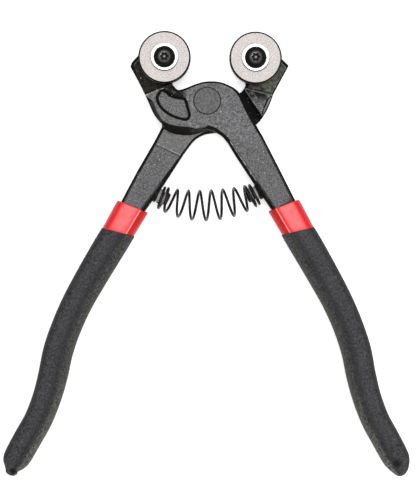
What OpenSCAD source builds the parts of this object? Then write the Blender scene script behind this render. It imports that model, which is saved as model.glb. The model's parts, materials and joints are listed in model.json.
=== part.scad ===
// Wheeled mosaic glass nippers, 200 mm long when closed, lying flat.
// Two lap-jointed forged levers turn on a flush rivet. Each jaw carries a round cutting wheel under a
// button-head screw, a barrel spring holds the handles open, and each handle has a two-layer grip.
// +Z is up, the jaws point along +Y, and the levers are drawn at their open stop.

/* [Placement] */
// Distance from the origin, under the middle of the tool, to the pivot axis
pivot_y = 65.2; // [60:0.1:70]
// Height of the mid plane that the two levers share
mid_z = 7; // [6.9:0.1:8]

/* [Levers] */
// Thickness of both levers together at the pivot
head_t = 12; // [11:0.1:12.5]
// Thickness of each arm where it enters its grip
arm_t = 10; // [9:0.1:10.5]
// Free gap between the two lapped levers
lap_gap = 0.1; // [0.05:0.01:0.2]
// Distance from the pivot to the end of the lap recess
lap_reach = 25.5; // [25:0.1:27]
// Distance from the pivot to the end of the ramp behind the lap recess
ramp_reach = 50; // [45:0.5:52]
// Angle of each arm below the level line through the pivot
arm_angle = 64.7; // [62:0.1:67]
// Half of each arm's width where it enters its grip
arm_half = 5.3; // [5:0.1:5.8]
// Depth of the pocket in the front lever's jaw
pocket_depth = 1.6; // [1:0.1:2.5]
// Half of the tang's width at its shoulder
tang_half = 3.8; // [3.4:0.1:3.9]
// Thickness of the tang inside the grip
tang_t = 6.4; // [5.6:0.1:6.6]

/* [Pivot rivet] */
// Diameter of the rivet's shank
rivet_d = 9; // [8:0.1:9.6]
// Diameter of the rivet's flush heads
rivet_head_d = 11.6; // [11:0.1:12.4]
// Thickness of each flush head
rivet_head_t = 2.2; // [1.8:0.1:2.6]
// Width of the groove around each head
rivet_groove = 0.1; // [0.08:0.01:0.15]
// Radial clearance of the shank in the lever that turns on it
rivet_play = 0.03; // [0.02:0.01:0.08]

/* [Cutting wheels] */
// Diameter of each wheel
wheel_d = 22.2; // [21:0.1:22.4]
// Thickness of each wheel
wheel_t = 6; // [5.6:0.1:6.2]
// Chamfer on both rims of a wheel
wheel_chamfer = 0.5; // [0.3:0.1:0.8]
// Gap above, below and inside a wheel, so that it can be turned to a fresh edge
wheel_play = 0.05; // [0.03:0.01:0.08]
// Left wheel's centre, sideways from the pivot
left_wheel_x = -18.1; // [-18.5:0.1:-17.9]
// Left wheel's centre, ahead of the pivot
left_wheel_y = 18.5; // [18.3:0.1:18.8]
// Right wheel's centre, sideways from the pivot
right_wheel_x = 20.5; // [20.2:0.1:20.8]
// Right wheel's centre, ahead of the pivot
right_wheel_y = 18.2; // [18:0.1:18.5]

/* [Wheel screws] */
// Diameter of the screw's shank
screw_d = 5; // [4.8:0.1:5.2]
// Diameter of the button head
screw_head_d = 9.2; // [8.8:0.1:9.8]
// Height of the button head
screw_head_h = 2.7; // [2.4:0.1:3]
// Width of the six-lobe socket across its lobes
socket_d = 3.6; // [3.2:0.1:4]
// Depth of the socket
socket_depth = 1.5; // [1.2:0.1:1.8]
// Diameter of the pin in the middle of the socket
socket_pin_d = 1.4; // [1:0.1:1.6]
// Outer diameter of the washer
washer_d = 12.3; // [11.6:0.1:13]
// Thickness of the washer
washer_t = 0.8; // [0.6:0.1:1]

/* [Spring] */
// Angle at which both studs point below the level
stud_tilt = 25; // [23:0.5:27]
// Distance from each arm to the spring's end turn
spring_gap = 1.7; // [1.6:0.1:2]
// How far the spring hangs below its studs
spring_sag = 0.5; // [0.2:0.1:0.6]
// How strongly the spring keeps the direction of its studs before it bends
spring_reach = 13.3; // [12:0.1:15]
// Wire diameter
wire_d = 1; // [0.8:0.1:1.1]
// Outside diameter at the ends
spring_end_d = 9.8; // [9.6:0.1:10.2]
// Outside diameter in the middle
spring_mid_d = 13.8; // [12:0.1:13.8]
// Number of turns
spring_turns = 10; // [9:0.5:11]
// Pitch of the close turns at each end
close_pitch = 1.6; // [1.3:0.1:1.8]
// Diameter of the stud's flange
stud_flange_d = 7; // [6.6:0.1:7]
// Diameter of the stud's neck
stud_neck_d = 4.4; // [4:0.1:5]
// Length of the stud outside the arm
stud_length = 6; // [5.6:0.1:6.2]
// Part of a turn by which the wire's start is turned
spring_start = 0.35; // [0:0.05:0.5]

/* [Grips] */
// Thickness of the black layer over the inner sleeve
grip_wall = 2.2; // [2:0.1:2.4]
// Free gap between two layers of a handle
layer_gap = 0.1; // [0.05:0.05:0.15]
// How far the black layer stands proud of the red collar
grip_step = 0.3; // [0.2:0.1:0.5]
// Turn of both handles the same way, because they aren't exact mirrors of each other
handle_cant = 0.4; // [0:0.1:1]

/* [Hidden] */

$fn = 72;
far = 200;
// How far cuts run past a face and joined shapes run into each other.
bite = 1;
steel = "dimgray";
rubber = [0.2, 0.2, 0.21];

low_z = mid_z - head_t / 2;
top_z = mid_z + head_t / 2;
lap_low_z = mid_z - lap_gap / 2;
lap_high_z = mid_z + lap_gap / 2;
arm_low_z = mid_z - arm_t / 2;
arm_high_z = mid_z + arm_t / 2;

wheel_z = lap_high_z + wheel_play;
washer_z = wheel_z + wheel_t + wheel_play;
screw_head_z = washer_z + washer_t;
left_wheel_at = [left_wheel_x, left_wheel_y];
right_wheel_at = [right_wheel_x, right_wheel_y];
seat_r = 9.6;

// Stations along the right handle, from its front face to its tip, in the pivot's frame:
// [x, y, angle of the section in plan, half width, half thickness].
collar_front = [32.1, -44.6, 21.7, 7, 6.5];
collar_rear = [38.3, -55.3, 14, 7.2, 6.8];
handle_middle = [
    [44.0, -65.1, 27, 6.9, 7],
    [49.8, -75.1, 29.5, 6.7, 7],
    [55.3, -85.2, 28, 6.5, 7],
    [59.8, -95.3, 23, 6.4, 7],
    [63.4, -105.9, 17, 6.4, 7],
    [65.6, -116.5, 14.5, 6.3, 7],
    [68.1, -125.9, 17, 6.1, 7],
    [71.7, -135.3, 23, 6, 7],
];
handle_end = [
    [76.1, -143.3, 27, 6, 6.8],
    [80.4, -151.2, 26, 5.8, 6.2],
    [82, -154.2, 24, 4.9, 5.3],
    [82.7, -156.2, 20, 3.4, 3.8],
    [83, -157.2, 17, 2.7, 2.9],
    [83.1, -158.2, 15, 2.5, 2.7],
    [83.2, -159, 15, 1.7, 1.9],
    [83.3, -159.4, 15, 0.6, 0.6],
];
cant_centre = [70, -107];
tang_steps = 5;
hole_play = 0.3;
corner_r = 4;
hollow_r = corner_r - grip_wall;
corner_steps = 6;
rings_per_step = 3;

// A point on the Catmull-Rom curve through the points p, a fraction t along from point i.
function curve_point(p, i, t) =
    let (a = p[max(i - 1, 0)], b = p[i], c = p[i + 1], d = p[min(i + 2, len(p) - 1)])
    0.5 * (2 * b + (c - a) * t + (2 * a - 5 * b + 4 * c - d) * t ^ 2 + (3 * b - 3 * c + d - a) * t ^ 3);
function smooth(p, steps) = concat(
    [for (i = [0 : len(p) - 2]) for (j = [0 : steps - 1]) curve_point(p, i, j / steps)],
    [p[len(p) - 1]]
);
function closed_smooth(p, steps) =
    let (n = len(p), wrapped = concat([p[n - 1]], p, [p[0], p[1]]))
    [for (i = [1 : n]) for (j = [0 : steps - 1]) curve_point(wrapped, i, j / steps)];
function reversed(p) = [for (i = [len(p) - 1 : -1 : 0]) p[i]];
function arc(centre, r, from, to, steps) =
    [for (i = [0 : steps]) let (a = from + (to - from) * i / steps) centre + r * [cos(a), sin(a)]];
function plan(station) = [station[0], station[1]];
function across(station) = [cos(station[2]), sin(station[2])];
function beside(station, offset) = plan(station) + offset * across(station);
function along(station, d) = station + d * [sin(station[2]), -cos(station[2]), 0, 0, 0];
function mirrored(p) = [for (q = p) [-q[0], q[1]]];
function turned(p, centre, a) =
    [for (q = p) let (d = q - centre)
        centre + [d[0] * cos(a) - d[1] * sin(a), d[0] * sin(a) + d[1] * cos(a)]];

// Plan of the tang, rooted a little way inside the arm, and the two corners where the arm ends.
tang_line = smooth(concat([collar_front, collar_rear], [for (i = [0 : tang_steps - 1]) handle_middle[i]]), 2);
tang_root = along(collar_front, -2);
function tang_width(i) = tang_half * (1 - 0.25 * i / (len(tang_line) - 1));
tang_plan = concat(
    [beside(tang_root, -tang_half)],
    [for (i = [0 : len(tang_line) - 1]) beside(tang_line[i], -tang_width(i))],
    [for (i = [len(tang_line) - 1 : -1 : 0]) beside(tang_line[i], tang_width(i))],
    [beside(tang_root, tang_half)]
);
arm_end = [beside(collar_front, -arm_half), beside(collar_front, arm_half)];
function on_right(p) = turned(p, cant_centre, -handle_cant);
function on_left(p) = mirrored(reversed(turned(p, cant_centre, handle_cant)));

// Plan of the front lever: right arm, top of the boss, left jaw, underside of the boss.
front_plan = concat(
    [[30.8, -29.2], [23.4, -14.8], [21.4, -11.5]],
    smooth([[17.1, -3.8], [15.2, 0.3], [13.6, 3.3], [12.1, 4.9], [9.4, 6.5], [5.7, 7.9], [1.9, 8.3],
            [-1.7, 8], [-5.4, 6.9], [-9.1, 5.4], [-12.2, 4.6], [-14.1, 6.2], [-15.1, 7.7]], 4),
    arc(left_wheel_at, seat_r, -65, 150, 36),
    [[-30.2, 19], [-32.2, 16.8], [-32.8, 15.1], [-29, 8.1]],
    smooth([[-26.3, 2.6], [-24.9, -0.6], [-23.3, -4.2], [-21.5, -7], [-18.7, -9.8], [-15, -11.3],
            [-9.5, -12.1], [-5, -11.8], [-0.8, -11.3], [2.9, -12.4], [6.4, -15], [8.8, -17.8]], 4),
    [[12, -23.2], [19.6, -34.6]],
    on_right(arm_end)
);
// Plan of the back lever: right jaw, top of the boss, left arm, underside of the boss.
back_plan = concat(
    [[34.8, 15.5], [32.1, 18.1]],
    arc(right_wheel_at, seat_r, 35, 240, 36),
    smooth([[16.4, 7.7], [16, 6.2], [14.4, 4.1], [12.3, 3.7], [9, 4.7], [5.4, 6.3], [1.7, 7.3],
            [-1.9, 7.5], [-5.6, 7.2], [-9, 5.6], [-12, 3.2], [-13.3, 0.5], [-14.9, -3]], 4),
    [[-16.9, -6.6], [-19.1, -10.4], [-22.7, -17.2], [-29.6, -29.4]],
    on_left(arm_end),
    [[-18.2, -34.9], [-12.9, -26.7]],
    smooth([[-10.4, -22.8], [-8.1, -19.6], [-6.1, -17.1], [-3.9, -15.2], [-0.9, -13.8], [2.7, -13.2],
            [6, -12.8], [11, -12.3], [17, -11.3], [21.4, -9.2], [24.6, -5.1], [26.5, -1.4], [28.3, 3.5]], 4),
    [[31, 8.5]]
);
// What each lever keeps on the far side of the lap plane, and the seat cut for the left wheel.
front_jaw_side = [[-50, 45], [0, 45], [0, 12], [-12.9, 5.4], [-12.8, 3.6], [-14, 0.4], [-15.6, -3.2],
                  [-17.6, -6.9], [-20.1, -11.4], [-50, -11.4]];
back_land = [[15.7, 5.6], [60, -5.6], [60, -40], [23.7, -7.6], [21.9, -4.6], [15.9, 4.2]];
front_seat = [[-50, -7.8], [-27.2, 2.2], [-14.6, 7.5], [0, 13.6], [0, 45], [-50, 45]];
pocket_plan = closed_smooth([[-21.7, 1.7], [-21, -1.5], [-18.7, -4.3], [-15.5, -6.5], [-11.8, -7.9],
                             [-8.6, -8.4], [-7, -6.3], [-7.7, -3.3], [-8.6, 0.2], [-10, 1.4], [-12.7, 1.9], [-15.1, 2.5],
                             [-16.9, 4], [-18.9, 5.2], [-20.6, 3.7]], 4);

// Each stud stands on the inner face of its arm, in a shallow spot face with a hole for its tail.
left_stud_at = [-21.8, -39.3];
right_stud_at = [22.2, -38.2];
left_stud_way = [cos(stud_tilt), -sin(stud_tilt)];
right_stud_way = [-cos(stud_tilt), -sin(stud_tilt)];
stud_tail_d = 3;
stud_tail = 4;
stud_head_d = 5.2;
stud_head_t = 2;
stud_flange_t = 1;
spot_depth = 1.2;
spot_play = 0.2;
tail_play = 0.5;

// The spring's centre line is a Bezier curve from one stud to the other.
rings_per_turn = 18;
wire_sides = 8;
ramp_turns = 1;
close_turns = 1;
spring_left = left_stud_at + spring_gap * left_stud_way - [0, spring_sag];
spring_right = right_stud_at + spring_gap * right_stud_way - [0, spring_sag];
spring_guide = [
    spring_left,
    spring_left + spring_reach * left_stud_way,
    spring_right + spring_reach * right_stud_way,
    spring_right,
];
function spring_line(t) =
    let (g = spring_guide, u = 1 - t)
    u ^ 3 * g[0] + 3 * u ^ 2 * t * g[1] + 3 * u * t ^ 2 * g[2] + t ^ 3 * g[3];
function spring_slope(t) =
    let (g = spring_guide, u = 1 - t,
         d = u ^ 2 * (g[1] - g[0]) + 2 * u * t * (g[2] - g[1]) + t ^ 2 * (g[3] - g[2]))
    atan2(d[1], d[0]);
function line_length(steps) =
    let (parts = [for (i = [1 : steps]) norm(spring_line(i / steps) - spring_line((i - 1) / steps))])
    parts * [for (p = parts) 1];
spring_length = line_length(24);
open_pitch = (spring_length - 2 * close_pitch * close_turns - close_pitch * ramp_turns)
    / (spring_turns - 2 * close_turns - ramp_turns);
// Length taken up by the first k turns, counted from one end to the middle.
function half_length(k) =
    k <= close_turns ? close_pitch * k
    : k <= close_turns + ramp_turns
        ? close_pitch * k + (open_pitch - close_pitch) * (k - close_turns) ^ 2 / (2 * ramp_turns)
        : half_length(close_turns + ramp_turns) + open_pitch * (k - close_turns - ramp_turns);
// Fraction of the centre line reached after k turns.
function coil_place(k) =
    (k <= spring_turns / 2 ? half_length(k) : spring_length - half_length(spring_turns - k)) / spring_length;
function coil_radius(t) = (spring_end_d - wire_d + (spring_mid_d - spring_end_d) * sin(180 * t) ^ 0.8) / 2;
// Outward direction and place of the wire after k turns.
function wire_out(k) =
    let (a = spring_slope(coil_place(k)), b = 360 * (k - spring_start))
    [-cos(b) * sin(a), cos(b) * cos(a), sin(b)];
function wire_point(k) =
    let (t = coil_place(k), p = spring_line(t)) [p[0], p[1], mid_z] + coil_radius(t) * wire_out(k);
function unit(v) = v / norm(v);
function wire_ring(k) =
    let (step = 0.01,
         heading = unit(wire_point(min(k + step, spring_turns)) - wire_point(max(k - step, 0))),
         side = unit(cross(wire_out(k), heading)),
         out = cross(heading, side))
    [for (j = [0 : wire_sides - 1]) let (b = 360 * j / wire_sides)
        wire_point(k) + wire_d / 2 * (cos(b) * out + sin(b) * side)];

// A rounded rectangle across a handle at one station, grown by w sideways and by t in thickness.
function section(station, w, t, r) =
    let (half_w = station[3] + w, half_t = station[4] + t, round_r = min(r, half_w - 0.05, half_t - 0.05))
    [for (corner = [0 : 3]) for (j = [0 : corner_steps])
        let (a = 90 * corner + 90 * j / corner_steps,
             side_w = corner == 0 || corner == 3 ? 1 : -1,
             side_t = corner < 2 ? 1 : -1,
             u = side_w * (half_w - round_r) + round_r * cos(a),
             v = side_t * (half_t - round_r) + round_r * sin(a))
        [station[0] + u * cos(station[2]), station[1] + u * sin(station[2]), mid_z + v]];
function sections(stations, w, t, r) = [for (s = stations) section(s, w, t, r)];

grip_line = concat([collar_rear], smooth(concat(handle_middle, handle_end), rings_per_step));
sleeve_steps = len(handle_middle) * rings_per_step;
sleeve_line = [for (i = [0 : sleeve_steps]) grip_line[i]];
collar_line = smooth([collar_front, collar_rear], 2);

// A closed skin over rings of equal length, with a flat cap on the first and on the last.
module skin(rings) {
    n = len(rings[0]);
    last = (len(rings) - 1) * n;
    sides = [for (i = [0 : len(rings) - 2]) for (j = [0 : n - 1])
        let (a = i * n + j, b = i * n + (j + 1) % n, c = a + n, d = b + n)
        each [[a, b, d], [a, d, c]]];
    caps = [[for (j = [n - 1 : -1 : 0]) j], [for (j = [0 : n - 1]) last + j]];
    polyhedron([for (r = rings) each r], concat(sides, caps), convexity = 10);
}

// Everything is drawn around the pivot and then set in place.
module placed() {
    translate([0, pivot_y, 0]) children();
}
module canted(a) {
    translate([cant_centre[0], cant_centre[1], 0]) rotate(a) translate([-cant_centre[0], -cant_centre[1], 0])
        children();
}
module on_right_handle() {
    canted(-handle_cant) children();
}
module on_left_handle() {
    mirror([1, 0, 0]) canted(handle_cant) children();
}
module slab(points, from, to) {
    translate([0, 0, from]) linear_extrude(to - from) polygon(points);
}
// A side view, given as [distance from the pivot, z], drawn out across the arm that leaves at angle a.
module side_view(points, a) {
    rotate(a) rotate([90, 0, 0]) translate([0, 0, -far / 2]) linear_extrude(far) polygon(points);
}
module drill(at, d, from, to) {
    translate([at[0], at[1], from]) cylinder(d = d, h = to - from);
}
// Stands its children on an arm's inner face, with +Z running out of the arm the way the stud points.
module at_stud(at, way) {
    translate([at[0], at[1], mid_z]) rotate(atan2(way[1], way[0])) rotate([0, 90, 0]) children();
}
module stud_seat(at, way) {
    at_stud(at, way) {
        translate([0, 0, -spot_depth - stud_tail]) cylinder(d = stud_tail_d, h = stud_tail + bite);
        translate([0, 0, -spot_depth]) cylinder(d = stud_flange_d + 2 * spot_play, h = 2 * spot_depth + bite);
    }
}

module front_lever() {
    profile = [[-far / 2, lap_high_z], [lap_reach, lap_high_z], [ramp_reach, arm_low_z], [far / 2, arm_low_z],
               [far / 2, arm_high_z], [ramp_reach, arm_high_z], [lap_reach, top_z], [-far / 2, top_z]];
    color(steel) placed() difference() {
        union() {
            intersection() {
                slab(front_plan, low_z, top_z);
                side_view(profile, -arm_angle);
            }
            intersection() {
                slab(front_plan, low_z, lap_high_z + bite);
                slab(front_jaw_side, low_z, lap_high_z + bite);
            }
            slab(on_right(tang_plan), mid_z - tang_t / 2, mid_z + tang_t / 2);
        }
        slab(front_seat, lap_high_z, top_z + bite);
        slab(pocket_plan, top_z - pocket_depth, top_z + bite);
        drill([0, 0], rivet_d, low_z - bite, top_z + bite);
        drill([0, 0], rivet_head_d + 2 * rivet_groove, top_z - rivet_head_t, top_z + bite);
        drill(left_wheel_at, screw_d, low_z - bite, top_z);
        stud_seat(right_stud_at, right_stud_way);
    }
}

module back_lever() {
    profile = [[-far / 2, low_z], [lap_reach, low_z], [ramp_reach, arm_low_z], [far / 2, arm_low_z],
               [far / 2, arm_high_z], [ramp_reach, arm_high_z], [lap_reach, lap_low_z],
               [-far / 2, lap_low_z]];
    color(steel) placed() difference() {
        union() {
            intersection() {
                slab(back_plan, low_z, top_z);
                side_view(profile, arm_angle - 180);
            }
            intersection() {
                slab(back_plan, lap_low_z - bite, top_z);
                slab(back_land, lap_low_z - bite, top_z);
            }
            slab(on_left(tang_plan), mid_z - tang_t / 2, mid_z + tang_t / 2);
        }
        drill([0, 0], rivet_d + 2 * rivet_play, low_z - bite, top_z);
        drill([0, 0], rivet_head_d + 2 * rivet_groove, low_z - bite, low_z + rivet_head_t);
        drill(right_wheel_at, screw_d, low_z - bite, top_z);
        stud_seat(left_stud_at, left_stud_way);
    }
}

module pivot_rivet() {
    color(steel) placed() {
        drill([0, 0], rivet_d, low_z, top_z);
        drill([0, 0], rivet_head_d, top_z - rivet_head_t, top_z);
        drill([0, 0], rivet_head_d, low_z, low_z + rivet_head_t - rivet_play);
    }
}

module wheel(at) {
    r = wheel_d / 2;
    bore = screw_d / 2 + wheel_play;
    color("gainsboro") placed() translate([at[0], at[1], wheel_z]) rotate_extrude()
        polygon([[bore, 0], [r - wheel_chamfer, 0], [r, wheel_chamfer],
                 [r, wheel_t - wheel_chamfer], [r - wheel_chamfer, wheel_t], [bore, wheel_t]]);
}

module washer(at) {
    inner = screw_d / 2;
    outer = washer_d / 2;
    bevel = washer_t / 3;
    color("silver") placed() translate([at[0], at[1], washer_z]) rotate_extrude()
        polygon([[inner, 0], [outer, 0], [outer, washer_t - bevel],
                 [outer - bevel, washer_t], [inner, washer_t]]);
}

module socket() {
    lobe_r = socket_d / 7;
    difference() {
        union() {
            cylinder(d = socket_d - 1.6 * lobe_r, h = socket_depth + bite);
            for (i = [0 : 5]) rotate(60 * i)
                translate([socket_d / 2 - lobe_r, 0, 0]) cylinder(r = lobe_r, h = socket_depth + bite);
        }
        cylinder(d = socket_pin_d, h = socket_depth * 0.8);
    }
}
module screw(at) {
    head_r = screw_head_d / 2;
    rim = screw_head_h / 5;
    flat_r = head_r / 3;
    shank_low = low_z + 0.5;
    dome = arc([flat_r, rim], 1, 0, 90, 12);
    stretch = [head_r - flat_r, screw_head_h - rim];
    edge = [for (q = dome) [flat_r + (q[0] - flat_r) * stretch[0], rim + (q[1] - rim) * stretch[1]]];
    color("black") placed() translate([at[0], at[1], 0]) difference() {
        union() {
            translate([0, 0, shank_low]) cylinder(d = screw_d, h = screw_head_z + rim - shank_low);
            translate([0, 0, screw_head_z]) rotate_extrude()
                polygon(concat([[0, 0], [head_r, 0]], edge, [[0, screw_head_h]]));
        }
        translate([0, 0, screw_head_z + screw_head_h - socket_depth]) socket();
    }
}

module return_spring() {
    count = spring_turns * rings_per_turn;
    color("dimgray") placed() skin([for (i = [0 : count]) wire_ring(i / rings_per_turn)]);
}

// The stud's flange fills its spot face; the neck and the tapered head inside the spring follow.
module stud(at, way) {
    color("black") placed() at_stud(at, way) {
        translate([0, 0, tail_play - spot_depth - stud_tail]) cylinder(d = stud_tail_d, h = stud_tail);
        translate([0, 0, -spot_depth]) cylinder(d = stud_flange_d, h = spot_depth + stud_flange_t);
        cylinder(d = stud_neck_d, h = stud_length - stud_head_t / 2);
        translate([0, 0, stud_length - stud_head_t])
            cylinder(d1 = stud_head_d, d2 = stud_neck_d, h = stud_head_t);
    }
}

// Inner layer: a collar in front, a thinner sock behind it, and a blind hole for the tang.
module red_sleeve() {
    inset = grip_wall + layer_gap;
    outside = sections(reversed(sleeve_line), -inset, -inset, corner_r - inset);
    collar = sections(reversed(collar_line), -grip_step, -grip_step, corner_r);
    last = len(tang_line) - 1;
    hole_line = concat(tang_line, [along(tang_line[last], hole_play)]);
    hole = [for (i = [0 : last + 1]) let (s = hole_line[i])
        section([s[0], s[1], s[2], tang_width(min(i, last)), tang_t / 2], hole_play, hole_play, hole_play)];
    skin(concat(outside, collar, hole));
}

// Outer layer: closed at the tip, hollow for the sleeve.
module black_grip() {
    outside = sections(reversed(grip_line), 0, 0, corner_r);
    hollow = sections(sleeve_line, -grip_wall, -grip_wall, hollow_r);
    hollow_end = section(along(sleeve_line[sleeve_steps], layer_gap), -grip_wall, -grip_wall, hollow_r);
    skin(concat(outside, hollow, [hollow_end]));
}

module right_red_sleeve() {
    color("crimson") placed() on_right_handle() red_sleeve();
}
module left_red_sleeve() {
    color("crimson") placed() on_left_handle() red_sleeve();
}
module right_black_grip() {
    color(rubber) placed() on_right_handle() black_grip();
}
module left_black_grip() {
    color(rubber) placed() on_left_handle() black_grip();
}

front_lever();
back_lever();
pivot_rivet();
wheel(left_wheel_at);  // left_wheel
wheel(right_wheel_at);  // right_wheel
washer(left_wheel_at);  // left_wheel_washer
washer(right_wheel_at);  // right_wheel_washer
screw(left_wheel_at);  // left_wheel_screw
screw(right_wheel_at);  // right_wheel_screw
return_spring();
stud(left_stud_at, left_stud_way);  // left_spring_stud
stud(right_stud_at, right_stud_way);  // right_spring_stud
left_red_sleeve();
right_red_sleeve();
left_black_grip();
right_black_grip();
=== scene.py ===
import json
import math

import bmesh
import bpy
from mathutils import Matrix, Vector
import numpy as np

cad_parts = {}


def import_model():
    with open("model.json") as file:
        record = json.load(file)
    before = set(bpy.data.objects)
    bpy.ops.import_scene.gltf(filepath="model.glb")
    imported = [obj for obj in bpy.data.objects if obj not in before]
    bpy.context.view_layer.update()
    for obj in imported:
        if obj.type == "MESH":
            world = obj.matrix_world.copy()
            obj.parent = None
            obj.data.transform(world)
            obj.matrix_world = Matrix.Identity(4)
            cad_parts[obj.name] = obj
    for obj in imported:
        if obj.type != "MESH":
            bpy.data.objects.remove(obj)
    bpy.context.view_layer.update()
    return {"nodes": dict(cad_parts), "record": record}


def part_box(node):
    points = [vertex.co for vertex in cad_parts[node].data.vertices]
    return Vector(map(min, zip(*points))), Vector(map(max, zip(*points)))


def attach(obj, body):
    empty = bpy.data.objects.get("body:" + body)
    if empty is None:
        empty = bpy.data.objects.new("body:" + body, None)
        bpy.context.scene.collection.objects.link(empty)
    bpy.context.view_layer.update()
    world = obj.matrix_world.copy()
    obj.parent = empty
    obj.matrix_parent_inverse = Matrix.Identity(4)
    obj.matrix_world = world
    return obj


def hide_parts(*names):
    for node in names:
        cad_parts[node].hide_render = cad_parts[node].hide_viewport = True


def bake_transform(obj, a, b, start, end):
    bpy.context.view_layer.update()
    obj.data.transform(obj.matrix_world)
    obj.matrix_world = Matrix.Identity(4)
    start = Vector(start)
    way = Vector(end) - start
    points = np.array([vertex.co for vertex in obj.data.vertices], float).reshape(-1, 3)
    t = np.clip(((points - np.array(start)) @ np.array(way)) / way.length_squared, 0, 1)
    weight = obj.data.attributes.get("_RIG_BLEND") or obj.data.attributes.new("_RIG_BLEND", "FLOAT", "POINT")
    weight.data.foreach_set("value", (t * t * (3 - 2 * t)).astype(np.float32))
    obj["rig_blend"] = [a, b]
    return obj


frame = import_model()

MM = 0.001
JOINTS = {j["name"]: j for j in frame["record"]["behaviour"]["joints"]}
PIVOT = Vector(JOINTS["jaw_pivot"]["pos_m"])
PIVOT_IN_PLAN = Vector((PIVOT.x, PIVOT.y, 0))
MID_Z = PIVOT.z / MM
LEFT_WHEEL = Vector(JOINTS["left_wheel_turn"]["pos_m"])
RIGHT_WHEEL = Vector(JOINTS["right_wheel_turn"]["pos_m"])
FRONT, BACK = "front_half", "back_half"


# ---------------------------------------------------------------- materials

def grey(value):
    return (value, value, value)


def new_material(name):
    mat = bpy.data.materials.new(name)
    mat.use_nodes = True
    tree = mat.node_tree
    tree.nodes.clear()
    out = tree.nodes.new("ShaderNodeOutputMaterial")
    shader = tree.nodes.new("ShaderNodeBsdfPrincipled")
    tree.links.new(shader.outputs["BSDF"], out.inputs["Surface"])
    return mat, tree, shader


def drive(tree, shader, sockets):
    """Sets the shader's inputs by name: each to a number or colour, or from another node."""
    for name, value in sockets.items():
        if isinstance(value, (float, tuple)):
            shader.inputs[name].default_value = value
        else:
            tree.links.new(value, shader.inputs[name])


def coordinates(tree):
    """Object coordinates, which are the row frame at rest."""
    return tree.nodes.new("ShaderNodeTexCoord").outputs["Object"]


def axes(tree, coords):
    """The x, y and z of coordinates, as three sockets."""
    xyz = tree.nodes.new("ShaderNodeSeparateXYZ")
    tree.links.new(coords, xyz.inputs["Vector"])
    return [xyz.outputs[k] for k in "XYZ"]


def attribute(tree, name):
    a = tree.nodes.new("ShaderNodeAttribute")
    a.attribute_name = name
    return a.outputs["Fac"]


def noise(tree, coords, scale, detail=3.0, rough=0.6):
    """Noise with features of about 1 / scale metres."""
    tex = tree.nodes.new("ShaderNodeTexNoise")
    for socket, number in (("Scale", scale), ("Detail", detail), ("Roughness", rough)):
        tex.inputs[socket].default_value = number
    tree.links.new(coords, tex.inputs["Vector"])
    return tex.outputs["Fac"]


def mapped(tree, value, low, high, to_low, to_high):
    """The value from low to high, moved to to_low to to_high and clamped there."""
    m = tree.nodes.new("ShaderNodeMapRange")
    m.clamp = True
    for socket, number in zip(("From Min", "From Max", "To Min", "To Max"), (low, high, to_low, to_high)):
        m.inputs[socket].default_value = number
    tree.links.new(value, m.inputs["Value"])
    return m.outputs["Result"]


def scaled(tree, value, strength):
    """A share from 0 to 1, times a strength."""
    return mapped(tree, value, 0, 1, 0, strength)


def mixed(tree, fac, a, b):
    """Mixes two colours; each is a socket or a colour."""
    m = tree.nodes.new("ShaderNodeMix")
    m.data_type = "RGBA"
    tree.links.new(fac, m.inputs["Factor"])
    for socket, value in ((m.inputs["A"], a), (m.inputs["B"], b)):
        if isinstance(value, tuple):
            socket.default_value = (*value, 1.0)
        else:
            tree.links.new(value, socket)
    return m.outputs["Result"]


def math_node(tree, operation, values):
    """Combines two or more sockets with one operation, from the first to the last."""
    result = values[0]
    for value in values[1:]:
        m = tree.nodes.new("ShaderNodeMath")
        m.operation = operation
        tree.links.new(result, m.inputs[0])
        tree.links.new(value, m.inputs[1])
        result = m.outputs["Value"]
    return result


def product(tree, *values):
    return math_node(tree, "MULTIPLY", values)


def largest(tree, *values):
    return math_node(tree, "MAXIMUM", values)


def band(tree, value, centre, half, soft):
    """1 within half of the centre, falling to 0 over the distance soft on both sides."""
    return product(tree, mapped(tree, value, centre - half - soft, centre - half, 0, 1),
                   mapped(tree, value, centre + half, centre + half + soft, 1, 0))


def bumped(tree, height, distance, strength, below=None):
    b = tree.nodes.new("ShaderNodeBump")
    b.inputs["Strength"].default_value = strength
    b.inputs["Distance"].default_value = distance
    tree.links.new(height, b.inputs["Height"])
    if below is not None:
        tree.links.new(below, b.inputs["Normal"])
    return b.outputs["Normal"]


def distance_along(tree, coords, way):
    """Distance of the shaded point from the pivot, along a direction in plan."""
    dot = tree.nodes.new("ShaderNodeVectorMath")
    dot.operation = "DOT_PRODUCT"
    tree.links.new(coords, dot.inputs[0])
    dot.inputs[1].default_value = (*way, 0.0)
    m = tree.nodes.new("ShaderNodeMath")
    m.operation = "SUBTRACT"
    tree.links.new(dot.outputs["Value"], m.inputs[0])
    m.inputs[1].default_value = PIVOT.x * way[0] + PIVOT.y * way[1]
    return m.outputs["Value"]


# Colours of the forged steel. A pair is the dark and the light end of a grain.
FACE_COLOURS = (0.018, 0.018, 0.019), (0.182, 0.182, 0.187)
FACE_CLOUD, LOWER_FACE, MILLED_FACE = (0.12, 0.12, 0.125), (0.02, 0.02, 0.022), (0.165, 0.165, 0.162)
# Painted shade on faces turned away from level, the rolled edges above all: near black with a grain.
FLANK_SHADE_COLOURS = grey(0.003), (0.016, 0.014, 0.011)
# Seat colours: a scaly grain, darkened with painted shade where the wheels and steps overhang the seats.
LEFT_SEAT_COLOURS = (0.004, 0.004, 0.003), (0.036, 0.034, 0.027)
RIGHT_SEAT_COLOURS = (0.03, 0.031, 0.025), (0.15, 0.152, 0.13)
# Painted shade along the foot of each seat's step, painted shadow on the lands beside the wheels, and the arm
# step's painted shade line and painted highlight line.
SEAT_CREASE_SHADE, LAND_SHADOW, STEP_SHADE, STEP_HIGHLIGHT = grey(0.002), (0.004, 0.004, 0.005), grey(0.02), grey(0.26)
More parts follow.
